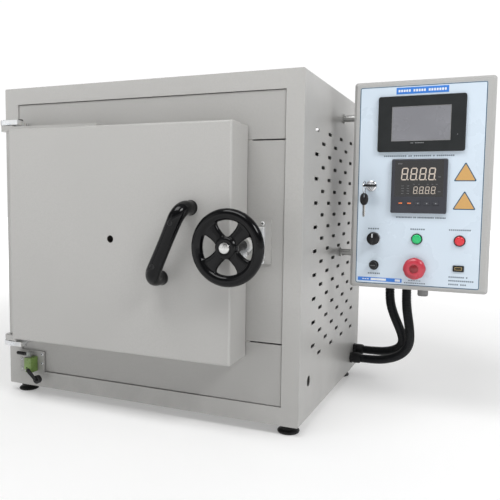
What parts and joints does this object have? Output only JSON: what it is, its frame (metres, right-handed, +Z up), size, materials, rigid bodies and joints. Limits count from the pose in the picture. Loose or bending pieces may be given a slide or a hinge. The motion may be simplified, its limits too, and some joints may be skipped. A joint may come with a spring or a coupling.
{
  "type": "laboratory muffle furnace",
  "caption": "Front-loading pottery and laboratory kiln: grey vented casing, side-hinged plug door with grab handle and handwheel clamp, brick chamber, side-mounted control box.",
  "frame": {"origin": "under the middle of the whole object's bounding box, on the floor the feet stand on", "axes": "+X to the user's right, from the casing towards the control box; +Y from the door into the casing; +Z up"},
  "size_m": [0.931, 0.632, 0.628],
  "materials": {
    "body_paint": "fine-textured light grey powder coat, semi-gloss",
    "fascia_paint": "smooth light grey paint, semi-gloss",
    "rod_paint": "light grey paint",
    "black_rubber": "matt moulded black",
    "firebrick": "porous light insulating brick",
    "element_alloy": "oxidised heating alloy",
    "fibre": "soft white ceramic fibre",
    "galvanised": "plain galvanised sheet",
    "hearth_ceramic": "fired buff slab",
    "probe_ceramic": "fired off-white tube",
    "fibre_board": "pressed fibre board",
    "gasket_fibre": "woven ceramic rope",
    "tube_ceramic": "fired tube",
    "black_gloss": "glossy black phenolic",
    "zinc": "bright zinc plate",
    "pin_steel": "bright turned steel",
    "black_steel": "black oxide",
    "brass": "plain bearing brass",
    "switch_green": "green enamel die casting",
    "roller_plastic": "black nylon",
    "overlay_film": "printed pale blue film",
    "bezel_plastic": "fine-grained dark grey moulding",
    "screen_glass": "dark display with a glossy front",
    "window_plastic": "smoked black window",
    "key_rubber": "grey silicone key",
    "green_lens": "green moulded lens",
    "red_lens": "red moulded lens",
    "bezel_metal": "plated ring",
    "black_plastic": "satin black moulding",
    "stop_red": "glossy red moulding",
    "port_plastic": "black moulded socket",
    "key_black": "black-headed steel key",
    "relay_metal": "finned heat sink",
    "conduit_plastic": "ribbed black nylon",
    "gland_plastic": "moulded black nylon"
  },
  "bodies": {
    "cabinet": {"casing": "body_paint", "base_pan": "body_paint", "levelling_feet": "black_rubber", "fascia_panels": "fascia_paint", "refractory_lining": "firebrick", "heating_elements": "element_alloy", "insulation_blanket": "fibre", "inner_case": "galvanised", "hearth_plate": "hearth_ceramic", "thermocouple": "probe_ceramic", "rear_panel": "body_paint", "terminal_cover": "body_paint", "hinge_brackets": "zinc", "hinge_pins": "pin_steel", "hinge_bolts": "black_steel", "keeper_plate": "fascia_paint", "keeper_block": "zinc", "switch_plate": "fascia_paint", "switch_body": "switch_green", "support_rods": "rod_paint", "box_shell": "body_paint", "box_hinge_pins": "pin_steel", "power_relay": "relay_metal", "conduit_front": "conduit_plastic", "conduit_rear": "conduit_plastic", "cable_glands": "gland_plastic"},
    "door": {"door_skin": "body_paint", "door_frame": "body_paint", "door_insulation": "fibre_board", "door_gasket": "gasket_fibre", "peephole_tube": "tube_ceramic", "door_handle": "black_gloss", "hinge_arms": "body_paint", "clamp_lug": "zinc", "spindle_bush": "brass"},
    "spindle_carrier": {"spindle_collar": "pin_steel"},
    "wheel": {"handwheel": "black_gloss", "spindle": "pin_steel"},
    "lever": {"switch_lever": "black_steel"},
    "roller": {"switch_roller": "roller_plastic"},
    "control_lid": {"box_door": "body_paint", "front_overlay": "overlay_film", "touch_panel": "bezel_plastic", "touch_screen": "screen_glass", "temperature_controller": "bezel_plastic", "controller_window": "window_plastic", "green_lamp": "green_lens", "red_lamp": "red_lens", "panel_bezels": "bezel_metal", "usb_port": "port_plastic"},
    "selector": {"selector_knob": "black_plastic"},
    "stop_button": {"stop_head": "stop_red"},
    "fuse": {"fuse_cap": "black_plastic"},
    "lock": {"lock_key": "key_black"},
    "hanging_key": {"spare_key": "key_black"},
    "key_1": {"controller_key_1": "key_rubber"},
    "key_2": {"controller_key_2": "key_rubber"},
    "key_3": {"controller_key_3": "key_rubber"},
    "key_4": {"controller_key_4": "key_rubber"},
    "key_5": {"controller_key_5": "key_rubber"}
  },
  "joints": [
    {"name": "door_hinge", "type": "hinge", "parent": "cabinet", "child": "door", "pos_m": [-0.4175, -0.242, 0.336], "axis": [0, 0, -1], "range_deg": [0, 110]},
    {"name": "clamp_travel", "type": "slide", "parent": "door", "child": "spindle_carrier", "axis": [0, -1, 0], "range_m": [0, 0.0106]},
    {"name": "wheel_spin", "type": "hinge", "parent": "spindle_carrier", "child": "wheel", "pos_m": [0.0855, -0.301, 0.334], "axis": [0, -1, 0], "range_deg": [0, 2520]},
    {"name": "lever_pivot", "type": "hinge", "parent": "cabinet", "child": "lever", "pos_m": [-0.3965, -0.216, 0.056], "axis": [0, 1, 0], "range_deg": [-20, 20], "stiffness_Nm_per_rad": 0.05},
    {"name": "roller_spin", "type": "hinge", "parent": "lever", "child": "roller", "pos_m": [-0.3775, -0.212, 0.039], "axis": [0, 1, 0], "continuous": true},
    {"name": "lid_hinge", "type": "hinge", "parent": "cabinet", "child": "control_lid", "pos_m": [0.4585, -0.028, 0.438], "axis": [0, 0, 1], "range_deg": [0, 92]},
    {"name": "selector_turn", "type": "hinge", "parent": "control_lid", "child": "selector", "pos_m": [0.2671, -0.054, 0.3422], "axis": [0, 1, 0], "range_deg": [0, 90]},
    {"name": "stop_press", "type": "slide", "parent": "control_lid", "child": "stop_button", "axis": [0, 1, 0], "range_m": [0, 0.005], "stiffness_N_per_m": 800},
    {"name": "fuse_turn", "type": "hinge", "parent": "control_lid", "child": "fuse", "pos_m": [0.2686, -0.054, 0.2933], "axis": [0, 1, 0], "range_deg": [0, 90]},
    {"name": "lock_turn", "type": "hinge", "parent": "control_lid", "child": "lock", "pos_m": [0.2599, -0.054, 0.4386], "axis": [0, 1, 0], "range_deg": [0, 45]},
    {"name": "spare_swing", "type": "hinge", "parent": "lock", "child": "hanging_key", "pos_m": [0.2534, -0.075, 0.4386], "axis": [0, 1, 0], "range_deg": [-45, 0]},
    {"name": "key_1_press", "type": "slide", "parent": "control_lid", "child": "key_1", "axis": [0, 1, 0], "range_m": [0, 0.0006], "stiffness_N_per_m": 400},
    {"name": "key_2_press", "type": "slide", "parent": "control_lid", "child": "key_2", "axis": [0, 1, 0], "range_m": [0, 0.0006], "stiffness_N_per_m": 400},
    {"name": "key_3_press", "type": "slide", "parent": "control_lid", "child": "key_3", "axis": [0, 1, 0], "range_m": [0, 0.0006], "stiffness_N_per_m": 400},
    {"name": "key_4_press", "type": "slide", "parent": "control_lid", "child": "key_4", "axis": [0, 1, 0], "range_m": [0, 0.0006], "stiffness_N_per_m": 400},
    {"name": "key_5_press", "type": "slide", "parent": "control_lid", "child": "key_5", "axis": [0, 1, 0], "range_m": [0, 0.0006], "stiffness_N_per_m": 400}
  ],
  "couplings": [
    {"joint": "clamp_travel", "follows": "wheel_spin", "m_per_rad": 0.00023873},
    {"joint": "spare_swing", "follows": "lock_turn", "ratio": -1}
  ]
}
